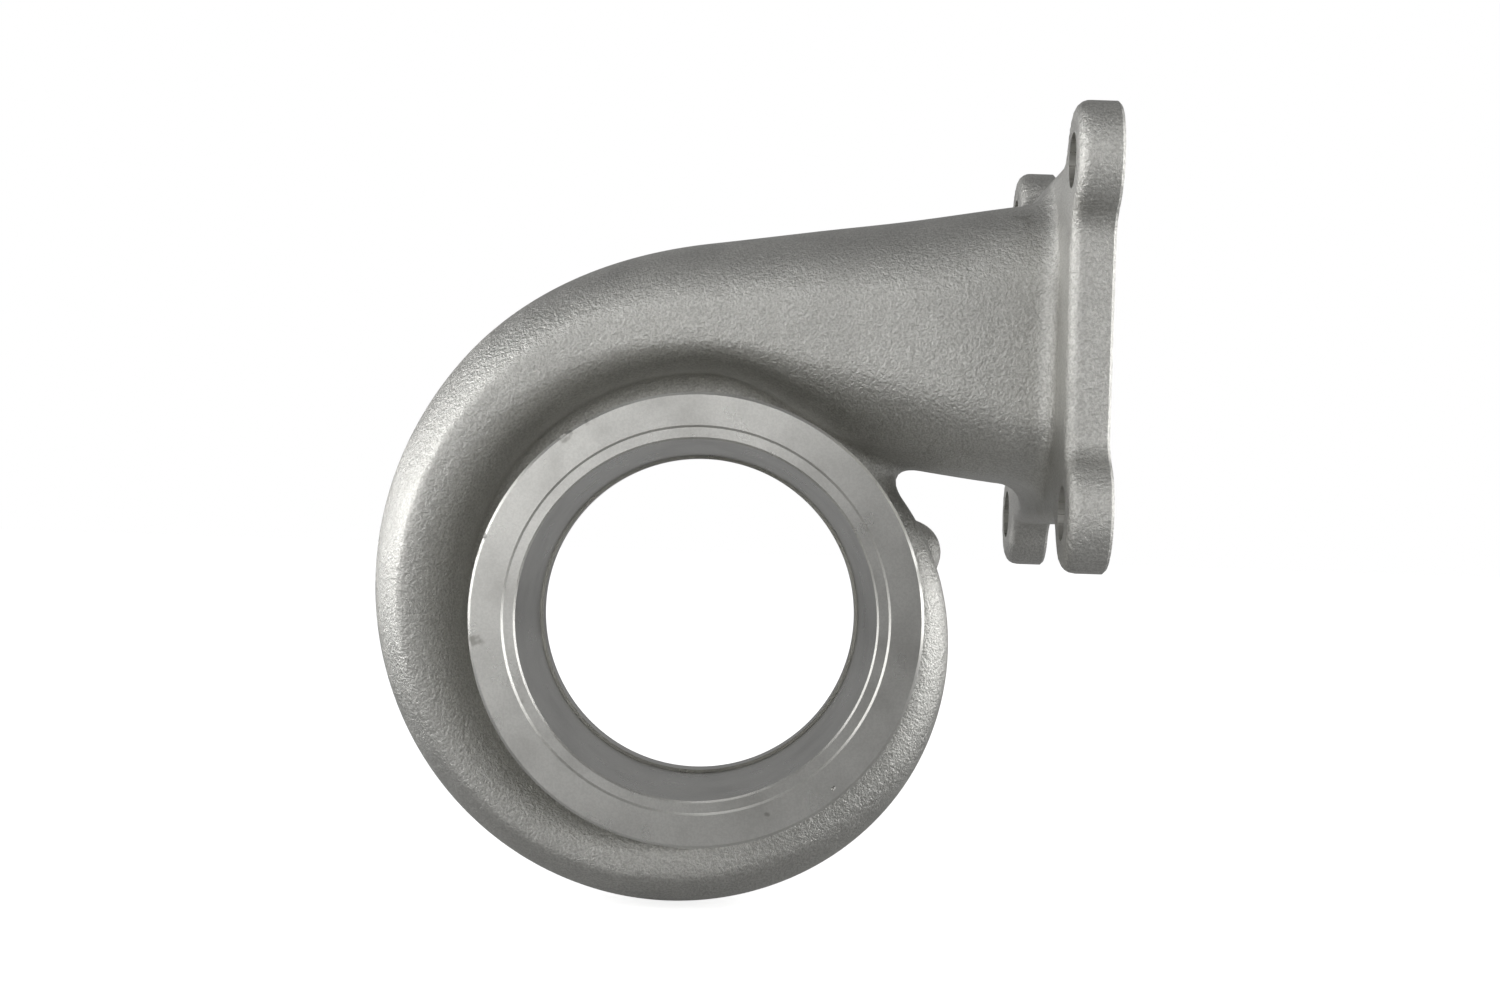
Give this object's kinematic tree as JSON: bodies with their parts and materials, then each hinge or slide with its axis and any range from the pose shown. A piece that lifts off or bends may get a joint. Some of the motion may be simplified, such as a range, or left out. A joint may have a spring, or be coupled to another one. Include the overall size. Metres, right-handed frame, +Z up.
{
  "type": "turbocharger turbine housing",
  "caption": "Cast turbocharger turbine housing: single scroll, bolted inlet flange, round band-clamp outlet, bore for the turbine wheel and a tapped face for the centre housing.",
  "frame": {"origin": "on the turbine axis, in the machined face that meets the centre housing", "axes": "+Y along the turbine axis out of the centre housing face, so the outlet faces -Y; +X out of the inlet flange; +Z up, from the axis towards the inlet passage"},
  "size_m": [0.1685, 0.143, 0.1878],
  "materials": {
    "cast_steel": "sandblasted investment-cast stainless steel, with fine-turned outlet ring, bore and flange face"
  },
  "bodies": {
    "root": {"turbine_housing": "cast_steel"}
  },
  "joints": []
}
